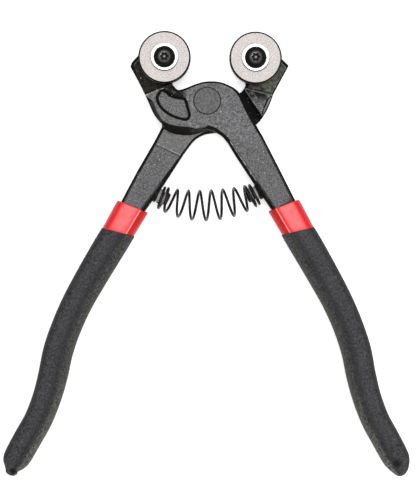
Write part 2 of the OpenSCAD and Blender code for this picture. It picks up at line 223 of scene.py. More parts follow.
# The first colour is a painted highlight along edges and steps; the specks and pits are grain.
EDGE_GLINT, SPECK, PIT = (0.44, 0.44, 0.43), grey(0.62), grey(0.02)
# Directions in plan: across the step beside each seat, across the left land, and down the left arm.
OVER_LEFT_STEP, OVER_RIGHT_STEP, OVER_LEFT_LAND = (-0.39, 0.921), (0.2435, 0.97), (0.447, 0.894)
DOWN_LEFT_ARM = (-0.427, -0.904)


def seat_colour(tree, coords, x):
    """The scaly seats under the wheels, their darkness partly the scale and partly painted shade under the
    wheels: nearly black on the left, greenish grey on the right.
    """
    scale = mapped(tree, noise(tree, coords, 420, 4, 0.7), 0.38, 0.6, 0, 1)
    on_right = mapped(tree, x, -0.002, 0.002, 0, 1)
    left, right = mixed(tree, scale, *LEFT_SEAT_COLOURS), mixed(tree, scale, *RIGHT_SEAT_COLOURS)
    # Painted shade: a dark line on the seat along the foot of each step's wall.
    crease_shade = mixed(tree, on_right,
                   mapped(tree, distance_along(tree, coords, OVER_LEFT_STEP), 0.0129, 0.0142, 1, 0),
                   mapped(tree, distance_along(tree, coords, OVER_RIGHT_STEP), 0.0096, 0.0106, 1, 0))
    return mixed(tree, crease_shade, mixed(tree, on_right, left, right), SEAT_CREASE_SHADE)


def land_shadow_share(tree, coords, x, y, z):
    """Painted shadow on the lands beside the wheels, broken into blots."""
    blots = mapped(tree, noise(tree, coords, 330, 4, 0.7), 0.36, 0.47, 0, 1)
    right_land = product(tree, mapped(tree, x, 0.0158, 0.0166, 0, 1),
                         mapped(tree, y, PIVOT.y - 0.002, PIVOT.y + 0.002, 0, 1))
    left_land = product(tree,
                        mapped(tree, x, -0.0105, -0.0085, 1, 0), mapped(tree, x, -0.0215, -0.0195, 0, 1),
                        mapped(tree, distance_along(tree, coords, OVER_LEFT_LAND), -0.0058, -0.0046, 0, 1))
    at_top = mapped(tree, z, 0.0118, 0.0122, 0, 1)
    return product(tree, largest(tree, right_land, left_land), at_top, blots)


def arm_step(tree, coords, face, x, dashes):
    """The low step across the left arm: a painted shade line, and a painted highlight line above it that
    comes and goes.
    """
    reach = distance_along(tree, coords, DOWN_LEFT_ARM)
    on_left = mapped(tree, x, -0.006, -0.004, 1, 0)
    face = mixed(tree, product(tree, band(tree, reach, 0.026, 0.00015, 0.0002), on_left), face, STEP_SHADE)
    lit = product(tree, band(tree, reach, 0.0254, 0.0001, 0.0002), on_left, dashes)
    return mixed(tree, lit, face, STEP_HIGHLIGHT)


def blasted_steel():
    """Forged steel: grey blasted faces, flanks darkened by painted shade over a scaly grain, lighter milled
    lap faces, bright specks; painted shade on the seats and the lands by the wheels, and painted highlight
    lines along some edges.
    """
    mat, tree, shader = new_material("forged_steel")
    tc = coordinates(tree)
    x, y, z = axes(tree, tc)
    grit = noise(tree, tc, 1100, 4, 0.75)
    grain = mapped(tree, noise(tree, tc, 1500, 4, 0.75), 0.4, 0.6, 0, 1)
    cloud = mapped(tree, noise(tree, tc, 140, 2), 0.35, 0.65, 0, 0.3)
    dashes = mapped(tree, noise(tree, tc, 500, 2), 0.4, 0.6, 0.35, 1)
    face = mixed(tree, cloud, mixed(tree, grain, *FACE_COLOURS), FACE_CLOUD)
    face = mixed(tree, scaled(tree, attribute(tree, "milled"), 0.3), face, MILLED_FACE)
    face = mixed(tree, mapped(tree, y, PIVOT.y - 0.024, PIVOT.y - 0.012, 0.14, 0), face, LOWER_FACE)
    # Lap faces beside the boss: the seats under the wheels and the slot by the boss, which take the seat
    # colours and their painted shade.
    at_lap = band(tree, z, 0.00695, 0.00035, 0.0003)
    beside_boss = largest(tree, mapped(tree, x, 0.009, 0.012, 0, 1),
                          mapped(tree, y, PIVOT.y - 0.004, PIVOT.y + 0.002, 0, 1))
    seat = product(tree, at_lap, beside_boss)
    face = mixed(tree, seat, face, seat_colour(tree, tc, x))
    # Painted shadow on the lands beside the wheels.
    land_shadow = land_shadow_share(tree, tc, x, y, z)
    face = mixed(tree, scaled(tree, land_shadow, 0.95), face, LAND_SHADOW)
    face = arm_step(tree, tc, face, x, dashes)
    # Painted shade on the flanks and rolled edges.
    flank_shade_share = attribute(tree, "flank")
    colour = mixed(tree, flank_shade_share, face, mixed(tree, mapped(tree, grit, 0.35, 0.7, 0, 1), *FLANK_SHADE_COLOURS))
    # Painted highlight lines along edges and steps, broken into dashes.
    colour = mixed(tree, product(tree, attribute(tree, "edge_glint"), dashes), colour, EDGE_GLINT)
    specks = mapped(tree, noise(tree, tc, 1500, 1, 0.4), 0.765, 0.79, 0, 0.8)
    pits = mapped(tree, noise(tree, tc, 900, 2, 0.5), 0.27, 0.31, 0.8, 0)
    colour = mixed(tree, pits, mixed(tree, specks, colour, SPECK), PIT)
    dull = largest(tree, flank_shade_share, seat, land_shadow)
    fine = bumped(tree, noise(tree, tc, 2600, 2), 0.00003, 0.4)
    drive(tree, shader, {
        "Base Color": colour,
        "Roughness": mapped(tree, grit, 0.3, 0.7, 0.42, 0.62),
        "Metallic": mapped(tree, dull, 0, 1, 0.12, 0),
        "Specular IOR Level": mapped(tree, dull, 0, 1, 0.3, 0.04),
        "Normal": bumped(tree, grit, 0.00006, 0.5, fine),
    })
    return mat


def turned_metal(name, dark, light, rough, metallic, scale, relief, flank, gloss=0.5):
    """Ground or plated metal with a fine even grain; flank is the colour of the painted shade where a surface
    stands upright.
    """
    mat, tree, shader = new_material(name)
    tc = coordinates(tree)
    grain = noise(tree, tc, scale, 3, 0.7)
    cloud = mapped(tree, noise(tree, tc, 260, 2), 0.4, 0.7, 0.1, 0.35)
    colour = mixed(tree, mapped(tree, grain, 0.39, 0.61, 0, 1), dark, light)
    colour = mixed(tree, cloud, colour, light)
    # Painted shade on upright and sloping faces.
    share = attribute(tree, "flank")
    drive(tree, shader, {
        "Base Color": mixed(tree, share, colour, flank),
        "Roughness": mapped(tree, grain, 0.2, 0.8, *rough),
        "Metallic": mapped(tree, share, 0, 1, metallic, 0),
        "Specular IOR Level": mapped(tree, share, 0, 1, gloss, 0.06),
        "Normal": bumped(tree, grain, relief, 0.5),
    })
    return mat


OXIDE_BLACKS = grey(0.002), (0.012, 0.012, 0.011)
OXIDE_GREYS = grey(0.22), (0.55, 0.55, 0.54)


def black_oxide(name, rough):
    """Blackened steel; the attribute tone makes it a lighter grey: painted sheen and highlights on the screw
    heads, plain lighter bands on the studs.
    """
    mat, tree, shader = new_material(name)
    grain = noise(tree, coordinates(tree), 1500, 3, 0.7)
    black = mixed(tree, mapped(tree, grain, 0.3, 0.7, 0, 1), *OXIDE_BLACKS)
    grey_and_sheen = mixed(tree, mapped(tree, grain, 0.35, 0.65, 0, 1), *OXIDE_GREYS)
    drive(tree, shader, {
        "Base Color": mixed(tree, attribute(tree, "tone"), black, grey_and_sheen),
        "Roughness": mapped(tree, grain, 0.2, 0.8, *rough),
        "Specular IOR Level": 0.06,
        "Normal": bumped(tree, grain, 0.00003, 0.5),
    })
    return mat


VINYL_COLOURS = (0.74, 0.012, 0.018), (0.88, 0.018, 0.026)
# Painted shade on the inner and outer flanks, and a painted highlight line along the inner edge.
VINYL_INNER_SHADE, VINYL_OUTER_SHADE, VINYL_EDGE_HIGHLIGHT = (0.5, 0.014, 0.014), (0.42, 0.012, 0.012), (0.95, 0.5, 0.42)


def gloss_vinyl():
    """Glossy dipped vinyl: painted shade deepens the red on both flanks, and a painted highlight line runs
    along the handle's inner edge.
    """
    mat, tree, shader = new_material("red_plastic")
    tc = coordinates(tree)
    ripple = noise(tree, tc, 420, 2)
    inner, outer = attribute(tree, "bevelled"), attribute(tree, "outer")
    colour = mixed(tree, mapped(tree, noise(tree, tc, 160, 3), 0.3, 0.7, 0, 1), *VINYL_COLOURS)
    colour = mixed(tree, scaled(tree, inner, 0.75), colour, VINYL_INNER_SHADE)
    colour = mixed(tree, mapped(tree, attribute(tree, "edge_highlight"), 0.2, 1, 0, 0.75), colour, VINYL_EDGE_HIGHLIGHT)
    colour = mixed(tree, scaled(tree, outer, 0.7), colour, VINYL_OUTER_SHADE)
    flanks = largest(tree, inner, outer)
    drive(tree, shader, {
        "Base Color": colour,
        "Roughness": mapped(tree, ripple, 0.3, 0.7, 0.3, 0.4),
        "Specular IOR Level": mapped(tree, flanks, 0, 1, 0.5, 0.12),
        "Coat Weight": mapped(tree, flanks, 0, 1, 0.15, 0),
        "Coat Roughness": 0.3,
        "Normal": bumped(tree, ripple, 0.0001, 0.15),
    })
    return mat


RUBBER_COLOURS, RUBBER_WORN = ((0.01, 0.01, 0.011), (0.074, 0.074, 0.081)), (0.062, 0.062, 0.069)
RUBBER_SIDE_COLOURS, RUBBER_TIP_SIDE = ((0.016, 0.015, 0.013), (0.085, 0.082, 0.07)), (0.21, 0.205, 0.18)
# Painted shade: a crease along the top, the outer side, and the dimple at the tip.
RUBBER_CREASE_SHADE, RUBBER_OUTER_SHADE, RUBBER_DIMPLE_SHADE, RUBBER_SPECK = grey(0.01), grey(0.005), grey(0.002), grey(0.3)


def pebbled_rubber():
    """Black dipped rubber with a pebbled skin and a paler inner flank; painted shade darkens its outer side,
    a crease along its top and the dimple at its tip.
    """
    mat, tree, shader = new_material("black_rubber")
    tc = coordinates(tree)
    grit = noise(tree, tc, 1000, 3, 0.75)
    colour = mixed(tree, mapped(tree, grit, 0.36, 0.66, 0, 1), *RUBBER_COLOURS)
    colour = mixed(tree, mapped(tree, noise(tree, tc, 90, 3), 0.45, 0.7, 0, 0.4), colour, RUBBER_WORN)
    side = mixed(tree, mapped(tree, grit, 0.4, 0.62, 0, 1), *RUBBER_SIDE_COLOURS)
    near_tip = product(tree, mapped(tree, axes(tree, tc)[1], PIVOT.y - 0.155, PIVOT.y - 0.115, 1, 0),
                       mapped(tree, grit, 0.42, 0.6, 0, 0.7))
    side = mixed(tree, near_tip, side, RUBBER_TIP_SIDE)
    colour = mixed(tree, scaled(tree, attribute(tree, "bevelled"), 0.8), colour, side)
    colour = mixed(tree, scaled(tree, attribute(tree, "crease_shade"), 0.62), colour, RUBBER_CREASE_SHADE)
    colour = mixed(tree, scaled(tree, attribute(tree, "outer"), 0.85), colour, RUBBER_OUTER_SHADE)
    colour = mixed(tree, mapped(tree, attribute(tree, "dimple"), 0, 0.7, 0, 0.95), colour, RUBBER_DIMPLE_SHADE)
    specks = mapped(tree, noise(tree, tc, 1300, 1, 0.4), 0.73, 0.76, 0, 0.4)
    colour = mixed(tree, specks, colour, RUBBER_SPECK)
    pebbles = tree.nodes.new("ShaderNodeTexVoronoi")
    pebbles.inputs["Scale"].default_value = 1500
    tree.links.new(tc, pebbles.inputs["Vector"])
    below = bumped(tree, grit, 0.00005, 0.5)
    drive(tree, shader, {
        "Base Color": colour,
        "Roughness": mapped(tree, grit, 0.3, 0.7, 0.6, 0.8),
        "Specular IOR Level": 0.22,
        "Normal": bumped(tree, pebbles.outputs["Distance"], 0.00012, 0.6, below),
    })
    return mat


STEEL = blasted_steel()
RIVET = turned_metal("rivet_steel", (0.03, 0.03, 0.031), (0.13, 0.13, 0.133), rough=(0.45, 0.6),
                     metallic=0.05, scale=1100, relief=0.00005, flank=grey(0.006), gloss=0.3)
CARBIDE = turned_metal("wheel_carbide", (0.31, 0.286, 0.275), (0.66, 0.61, 0.59), rough=(0.42, 0.58),
                       metallic=0.1, scale=1900, relief=0.00002, flank=(0.008, 0.007, 0.005))
PLATE = turned_metal("washer_plate", grey(0.78), (0.9, 0.9, 0.89), rough=(0.2, 0.34), metallic=0.2,
                     scale=1900, relief=0.00001, flank=(0.03, 0.028, 0.026))
OXIDE = black_oxide("black_oxide", (0.35, 0.5))
STUD = black_oxide("stud_oxide", (0.25, 0.4))
WIRE = turned_metal("spring_steel", grey(0.003), (0.014, 0.013, 0.013), rough=(0.26, 0.4), metallic=0.2,
                    scale=2200, relief=0.00003, flank=grey(0.006), gloss=0.25)
RED = gloss_vinyl()
RUBBER = pebbled_rubber()


# ---------------------------------------------------------------- mesh helpers

def finish_mesh(name, bm, material, sharp=35.0):
    """Turns a bmesh in metres into an object with one material, shaded smooth up to an angle in degrees."""
    mesh = bpy.data.meshes.new(name)
    bm.normal_update()
    bm.to_mesh(mesh)
    bm.free()
    for poly in mesh.polygons:
        poly.use_smooth = True
    mesh.set_sharp_from_angle(angle=math.radians(sharp))
    mesh.materials.append(material)
    obj = bpy.data.objects.new(name, mesh)
    bpy.context.scene.collection.objects.link(obj)
    return obj


def flatten_normals(obj):
    """Gives large flat faces their own normal, so that the rounded edges beside them shade cleanly."""
    modifier = obj.modifiers.new("weighted", "WEIGHTED_NORMAL")
    modifier.keep_sharp = True
    bpy.context.view_layer.update()
    evaluated = obj.evaluated_get(bpy.context.evaluated_depsgraph_get())
    mesh = bpy.data.meshes.new_from_object(evaluated)
    obj.modifiers.clear()
    old, obj.data = obj.data, mesh
    bpy.data.meshes.remove(old)
    mesh.name = obj.name


def add_flank_shade(obj, start=0.9, end=0.35):
    """Stores on each corner how far its face turns away from level: 0 on level faces, 1 on flanks. The
    materials darken the flanks by it as painted shade.
    """
    mesh = obj.data
    layer = mesh.attributes.new("flank", "FLOAT", "CORNER")
    normals = [n.vector for n in mesh.corner_normals]
    layer.data.foreach_set("value", [min(1.0, max(0.0, (start - abs(n.z)) / (start - end))) for n in normals])


def loft(rings):
    """A closed bmesh skin over rings of points in millimetres."""
    bm = bmesh.new()
    rows = [[bm.verts.new(Vector(p) * MM) for p in ring] for ring in rings]
    n = len(rings[0])
    for low, high in zip(rows, rows[1:]):
        for j in range(n):
            k = (j + 1) % n
            bm.faces.new((low[j], low[k], high[k], high[j]))
    bm.faces.new(list(reversed(rows[0])))
    bm.faces.new(rows[-1])
    bmesh.ops.recalc_face_normals(bm, faces=bm.faces[:])
    return bm


def lathe(profile, place, sides):
    """A closed bmesh turned about Z from [(radius, z)] in millimetres. A radius of 0 closes an end."""
    bm = bmesh.new()
    rows = []
    for r, z in profile:
        if r == 0:
            rows.append([bm.verts.new((0, 0, z * MM))])
        else:
            rows.append([bm.verts.new((r * MM * math.cos(2 * math.pi * i / sides),
                                       r * MM * math.sin(2 * math.pi * i / sides), z * MM))
                         for i in range(sides)])
    loop = list(zip(rows, rows[1:]))
    if profile[0][0] > 0 and profile[-1][0] > 0:
        loop.append((rows[-1], rows[0]))
    for low, high in loop:
        for i in range(sides):
            k = (i + 1) % sides
            if len(low) == 1:
                bm.faces.new((low[0], high[k], high[i]))
            elif len(high) == 1:
                bm.faces.new((low[i], low[k], high[0]))
            else:
                bm.faces.new((low[i], low[k], high[k], high[i]))
    bmesh.ops.recalc_face_normals(bm, faces=bm.faces[:])
    bmesh.ops.transform(bm, matrix=place, verts=bm.verts[:])
    return bm


def along_axis(axis):
    """Places a turned piece on a vertical axis."""
    return Matrix.Translation((axis.x, axis.y, 0))


ARC_STEPS = 4


def rounded(corner, radius, start, end):
    """Points of an arc about corner, from one angle to another in degrees."""
    angles = [math.radians(start + (end - start) * i / ARC_STEPS) for i in range(ARC_STEPS + 1)]
    return [(corner[0] + radius * math.cos(a), corner[1] + radius * math.sin(a)) for a in angles]


def curve_point(p, i, t):
    """A point of the Catmull-Rom curve through p, at the share t of the way from p[i] to p[i + 1]."""
    a, b, c, d = p[max(i - 1, 0)], p[i], p[i + 1], p[min(i + 2, len(p) - 1)]
    return [0.5 * (2 * b[k] + (c[k] - a[k]) * t + (2 * a[k] - 5 * b[k] + 4 * c[k] - d[k]) * t ** 2
                   + (3 * b[k] - 3 * c[k] + d[k] - a[k]) * t ** 3) for k in range(len(b))]


def smooth(points, steps):
    """A Catmull-Rom curve through the points."""
    spans = range(len(points) - 1)
    return [curve_point(points, i, j / steps) for i in spans for j in range(steps)] + [list(points[-1])]


# ---------------------------------------------------------------- forged levers

# Heights, radii and distances in millimetres.
LAP_Z, FACE_Z = 7.0, 12.9
RIVET_HOLE_R, SCREW_HOLE_R = 6.3, 2.8
# The rolled edge: its even bevel, and how far across it each ring lies and is moved to. 0 is the outline.
EDGE_R = 0.9
RIM_SHARES = [(0.0, 0.0), (0.076, 0.25), (0.293, 0.6), (0.617, 0.86), (1.0, 1.0)]
RIM_LEVEL, RIM_REACH = 1.5, 1.4
POCKET_LIP_R, POCKET_FILLET_R = 0.3, 0.4
POCKET_SLOPE, POCKET_FLOOR_Z = 1.0, 11.4
# The CAD model draws the pocket's outline with this many points for each point of its own curve.
CURVE_STEPS = 4
STEP_R = 0.55
FLARE = 2.2
ARM_CENTRE = 7.5
# Degrees: the least at an edge that is rounded, the most across one flat face, and the most shaded smooth.
EDGE_ANGLE, FLAT_ANGLE, SMOOTH_ANGLE = 40, 0.3, 40
STUD_BOXES = {"front_lever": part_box("right_spring_stud"), "back_lever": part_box("left_spring_stud")}
ARM_WAY = {"front_lever": Vector((0.427, -0.904)), "back_lever": Vector((-0.427, -0.904))}
# Steps on the upper faces, between the land and the wheel's seat or the boss's slot, from the pivot.
STEP_LINES = {
    "front_lever": [((-32.0, 0.1), (-12.9, 8.2))],
    "back_lever": [((15.7, 5.6), (40.0, -0.5)), ((15.7, 5.6), (15.9, 4.2)), ((15.9, 4.2), (21.9, -4.6)),
                   ((21.9, -4.6), (23.7, -7.6))],
}
# The part of the front lever's step that has a bright rounded corner ends this far left of the pivot.
BRIGHT_STEP_END = -21.5


def near_axis(vert, axis, radius):
    return math.hypot(vert.co.x - axis.x, vert.co.y - axis.y) < radius * MM


def from_pivot(co):
    """A point in plan, from the pivot in millimetres."""
    return Vector((co.x - PIVOT.x, co.y - PIVOT.y)) / MM


def ramped(value, low, high, to_low, to_high):
    """The value from low to high, moved to to_low to to_high and clamped there."""
    share = min(1.0, max(0.0, (value - low) / (high - low)))
    return to_low + (to_high - to_low) * share


def foot_on(p, a, b):
    """The point of the segment from a to b that is nearest to p."""
    return a + min(1.0, max(0.0, (p - a).dot(b - a) / (b - a).length_squared)) * (b - a)


def step_distance(node, p):
    """Distance of a plan point from the nearest of the lever's steps."""
    return min((foot_on(p, Vector(a), Vector(b)) - p).length for a, b in STEP_LINES[node])


def rim_width(node, p):
    """Width of the rolled edge at a plan point: broad on arms and jaws, narrow over the boss and at steps."""
    in_front = node == "front_lever"
    way = ARM_WAY[node]
    down = p.dot(way)
    outward = p.dot(Vector((-way.y, way.x))) * (1 if in_front else -1)
    if outward > ARM_CENTRE and down > 0:
        return ramped(down, 10, 40, 1.2, 1.4)
    if down > 14:
        return ramped(down, 14, 28, 1.2, 2.0) if in_front else ramped(down, 24, 44, 0.9, 2.1)
    if in_front:
        width = ramped(p.y, 0, 6, 1.2, 0.9) if p.x > -20 else ramped(p.x, -24, -20, 2.0, 1.3)
    else:
        width = ramped(p.x, 14, 18, 1.1, 2.1)
    return min(width, ramped(step_distance(node, p), 0.5, 4.5 if in_front else 3.0, 0.8, 2.2))


def slope_pocket(bm):
    """Moves the pocket's floor outline inwards, so that its walls slope as a forging's do."""
    floors = [f for f in bm.faces
              if f.normal.z > 0.99 and abs(f.calc_center_median().z / MM - POCKET_FLOOR_Z) < 0.1]
    if not floors:
        return
    verts = [loop.vert for loop in max(floors, key=lambda f: f.calc_area()).loops]
    control = [v.co.copy() for v in verts[::CURVE_STEPS]]
    n = len(control)
    moved = []
    for i, p in enumerate(control):
        tangent = (control[(i + 1) % n] - control[i - 1]).normalized()
        moved.append(p + POCKET_SLOPE * MM * Vector((-tangent.y, tangent.x, 0)))
    wrapped = [moved[-1]] + moved + moved[:2]
    for i in range(n):
        for j in range(CURVE_STEPS):
            if i * CURVE_STEPS + j < len(verts):
                verts[i * CURVE_STEPS + j].co = Vector(curve_point(wrapped, i + 1, j / CURVE_STEPS))
    bm.normal_update()


def flare_boss(bm):
    """Draws the boss's lower wall outwards at the lap plane, so that it slopes down to the other lever."""
    moves = []
    for v in bm.verts:
        p = from_pivot(v.co)
        walls = [f.normal for f in v.link_faces if abs(f.normal.z) < 0.3 and f.normal.y < 0.2]
        under_boss = -28 < p.x < 9 and p.y <= -1 and p.length >= 8
        if abs(v.co.z / MM - LAP_Z) > 0.2 or not under_boss or not walls:
            continue
        out = sum(walls, Vector((0, 0, 0)))
        reach = FLARE * ramped(p.x, -24, -14, 0, 1) * ramped(p.x, -6, 6, 1, 0)
        moves.append((v, Vector((out.x, out.y, 0)).normalized() * reach * MM))
    for v, move in moves:
        v.co += move
    bm.normal_update()


def join_flat_faces(bm):
    bmesh.ops.dissolve_limit(bm, angle_limit=math.radians(FLAT_ANGLE), verts=bm.verts[:], edges=bm.edges[:])


def fill_stud_seat(bm, node):
    """Closes the seat behind the stud's flange, which hides it."""
    low, high = STUD_BOXES[node]
    margin = 0.6 * MM
    inside = [f for f in bm.faces
              if all(low[k] - margin < v.co[k] < high[k] + margin for v in f.verts for k in range(3))]
    bmesh.ops.delete(bm, geom=inside, context="FACES")
    bmesh.ops.holes_fill(bm, edges=[e for e in bm.edges if e.is_boundary], sides=0)
    join_flat_faces(bm)


def split_step(bm):
    """Cuts the front lever's step edge where its bright corner ends."""
    for e in list(bm.edges):
        a, b = (from_pivot(v.co) for v in e.verts)
        along_step = all(v.co.z / MM > FACE_Z - 0.4 for v in e.verts) \
            and all(step_distance("front_lever", p) < 0.2 for p in (a, b))
        if along_step and min(a.x, b.x) < BRIGHT_STEP_END - 1 < BRIGHT_STEP_END + 1 < max(a.x, b.x):
            bmesh.utils.edge_split(e, e.verts[0], (BRIGHT_STEP_END - a.x) / (b.x - a.x))


def reshape_rims(bm, node, fresh, outline):
    """Gives the outline's even bevel its local width, and marks it: 1 at its inner line, 2 at the outline."""
    rim = bm.verts.layers.float["rim"]
    shares = list(zip(RIM_SHARES, RIM_SHARES[1:]))
    for v in fresh:
        p, z = from_pivot(v.co), v.co.z / MM
        feet = [foot_on(p, a, b) for a, b, level in outline if abs(level - z) < RIM_LEVEL]
        foot = min(feet, key=lambda q: (q - p).length_squared, default=None)
        if foot is None or (foot - p).length > RIM_REACH * EDGE_R:
            continue
        depth = (foot - p).length / EDGE_R
        v[rim] = 2 - min(1.0, depth)
        if depth > 0.01:
            (low, to_low), (high, to_high) = next((s for s in shares if depth <= s[1][0]), shares[-1])
            share = to_low + (to_high - to_low) * (depth - low) / (high - low)
            q = foot + (p - foot).normalized() * share * rim_width(node, foot)
            v.co.x, v.co.y = PIVOT.x + q.x * MM, PIVOT.y + q.y * MM


def forged_lever(node, wheel, collar_y):
    """The CAD lever with the rounded edges of a forging: rolled outline edges and a filleted pocket."""
    bm = bmesh.new()
    bm.from_mesh(frame["nodes"][node].data)
    bm.verts.layers.float.new("rim")
    bmesh.ops.remove_doubles(bm, verts=bm.verts[:], dist=2e-6)
    join_flat_faces(bm)
    fill_stud_seat(bm, node)
    slope_pocket(bm)
    if node == "front_lever":
        flare_boss(bm)
        split_step(bm)
    way = Vector((*ARM_WAY[node], 0))

    def drilled(v):
        return near_axis(v, PIVOT, RIVET_HOLE_R) or near_axis(v, wheel, SCREW_HOLE_R)

    def bevel(edges, radius, segments):
        edges = [e for e in edges if e.is_valid]
        return bmesh.ops.bevel(bm, geom=edges, offset=radius * MM, offset_type="OFFSET", segments=segments,
                               profile=0.5, affect="EDGES", clamp_overlap=False, miter_outer="SHARP",
                               loop_slide=True)

    def pocket_wall(face):
        zs = [v.co.z / MM for v in face.verts]
        from_floor = POCKET_FLOOR_Z - 0.2 < min(zs) < POCKET_FLOOR_Z + 0.6
        return abs(face.normal.z) < 0.8 and from_floor and max(zs) > FACE_Z

    def level(face):
        height = face.calc_center_median().z / MM
        return face.normal.z > 0.8 or (face.normal.z < -0.8 and height < LAP_Z - 0.3)

    lip, fillet, rim, step, outline = [], [], [], [], []
    for e in bm.edges:
        blunt = len(e.link_faces) != 2 or e.calc_face_angle(0) < math.radians(EDGE_ANGLE)
        if blunt or any(drilled(v) for v in e.verts):
            continue
        a, b = e.link_faces
        if pocket_wall(a) != pocket_wall(b):
            (lip if e.is_convex else fillet).append(e)
            continue
        wall = a if abs(a.normal.z) < abs(b.normal.z) else b
        if not e.is_convex or level(a) == level(b) or abs(wall.normal.z) > 0.35 \
                or wall.normal.dot(way) > 0.9 or all(v.co.y < collar_y for v in e.verts):
            continue
        middle = from_pivot((e.verts[0].co + e.verts[1].co) / 2)
        if step_distance(node, middle) < 0.4:
            if node == "back_lever" or middle.x < BRIGHT_STEP_END:
                step.append(e)
            continue
        rim.append(e)
        outline.append((from_pivot(e.verts[0].co), from_pivot(e.verts[1].co), e.verts[0].co.z / MM))
    bevel(fillet, POCKET_FILLET_R, 3)
    bevel(lip, POCKET_LIP_R, 3)
    bevel(step, STEP_R, 2)
    fresh = {v for f in bevel(rim, EDGE_R, 4)["faces"] for v in f.verts}
    reshape_rims(bm, node, fresh, outline)
    obj = finish_mesh(node + "_forging", bm, STEEL, SMOOTH_ANGLE)
    flatten_normals(obj)
    mark_lever(obj, node)
    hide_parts(node)
    return obj


def shine(node, normal, p, z, share):
    """How strong the painted highlight on a face is, 0 to 1: lit lines along rolled edges and steps; share is
    1 at a rolled edge's inner line and 2 at the outline.
    """
    in_front = node == "front_lever"
    middle_strip = 1.4 < share < 1.7
    upper = z > 9
    if upper and 0.2 < normal.z < 0.97 and step_distance(node, p) < STEP_R:
        return 1.0 if in_front else 0.35
    if upper and middle_strip and p.dot(ARM_WAY[node]) > 22:
        return 0.7 if in_front and p.x < 22 else 0.12
    if upper and not in_front and p.x > 14 and p.y > -16 and 1.7 < share < 1.9:
        return 0.45
    if upper and p.x < -19 and p.y > -9 and 1.4 < share < 1.9:
        return 0.08
    if LAP_Z - 1 < z < 9 and p.y > -8 and abs(p.x) > 18 and middle_strip:
        return 0.18 if in_front else 0.4
    return 0.0


def mark_lever(obj, node):
    """Stores on the forging its painted shade on rolled edges and other faces turned from level, where it's
    milled, and where painted highlight lines run along its edges.
    """
    mesh = obj.data
    rim = [d.value for d in mesh.attributes["rim"].data]
    normals = [n.vector.z for n in mesh.corner_normals]
    add = mesh.attributes.new
    add("flank", "FLOAT", "CORNER").data.foreach_set("value", [
        ramped(rim[loop.vertex_index], 1, 1.38, 0, 1) if rim[loop.vertex_index] > 0
        else ramped(abs(nz), 0.86, 0.985, 1, 0)
        for loop, nz in zip(mesh.loops, normals)])
    milled, edge_glint = [], []
    for f in mesh.polygons:
        z = f.center.z / MM
        milled.append(1.0 if abs(f.normal.z) > 0.999 and abs(z - LAP_Z) < 0.2 else 0.0)
        marks = [rim[i] for i in f.vertices]
        share = sum(marks) / len(marks) if min(marks) >= 1 else 0
        edge_glint.append(shine(node, f.normal, from_pivot(f.center), z, share))
    add("milled", "FLOAT", "FACE").data.foreach_set("value", milled)
    add("edge_glint", "FLOAT", "FACE").data.foreach_set("value", edge_glint)


# The last number is a y in metres: below it the arm is inside its sleeve, so its edges are left sharp.
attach(forged_lever("front_lever", LEFT_WHEEL, 0.0215), FRONT)
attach(forged_lever("back_lever", RIGHT_WHEEL, 0.0195), BACK)


# ---------------------------------------------------------------- rivet, wheels, washers, screws

BORE_R = 2.5


def round_box(node):
    """The radius, bottom and top in millimetres of a turned CAD piece that stands upright."""
    low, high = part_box(node)
    return (high.x - low.x) / 2 / MM, low.z / MM, high.z / MM


def pivot_rivet():
    r, bottom, top = round_box("pivot_rivet")
    shank, head_t, roll, gap = 4.5, 2.2, 0.5, 0.03
    head_bottom, head_top = top - head_t, bottom + head_t - gap
    profile = [(0, bottom), (r - roll, bottom)] + rounded((r - roll, bottom + roll), roll, -90, 0) \
        + [(r, head_top), (shank, head_top), (shank, head_bottom), (r, head_bottom)] \
        + rounded((r - roll, top - roll), roll, 0, 90) + [(0, top)]
    obj = finish_mesh("pivot_rivet_ground", lathe(profile, along_axis(PIVOT), 128), RIVET)
    # Painted shade on the rivet's rolled edges.
    add_flank_shade(obj, 0.97, 0.7)
    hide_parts("pivot_rivet")
    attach(obj, FRONT)


def cutting_wheel(side, axis):
    """A ground disc with chamfered edges, with painted shade on its chamfers and wall, the wall darker below
    than above.
    """
    r, bottom, top = round_box(side + "_wheel")
    bore, chamfer, soft = BORE_R + 0.05, 0.62, 0.08
    shade_top, shade_bottom = top - 2.6, top - 3.2
    profile = [(bore, bottom), (r - chamfer, bottom), (r - soft, bottom + chamfer - soft),
               (r, bottom + chamfer + soft), (r, shade_bottom), (r, shade_top), (r, top - chamfer - soft),
               (r - soft, top - chamfer + soft), (r - chamfer + soft, top - soft), (r - chamfer - soft, top),
               (bore, top)]
    turned = lathe(profile, along_axis(axis), 160)
    obj = finish_mesh(side + "_wheel_ground", turned, CARBIDE, 20)
    add_flank_shade(obj, 0.97, 0.87)
    # Painted shade on the wall: lighter on its upper half, darker on its lower half.
    marks = obj.data.attributes["flank"].data
    for f in obj.data.polygons:
        if abs(f.normal.z) < 0.2:
            for i in f.loop_indices:
                height = obj.data.vertices[obj.data.loops[i].vertex_index].co.z / MM
                marks[i].value = 0.62 if height > (shade_top + shade_bottom) / 2 else 0.93
    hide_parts(side + "_wheel")
    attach(obj, side + "_wheel")


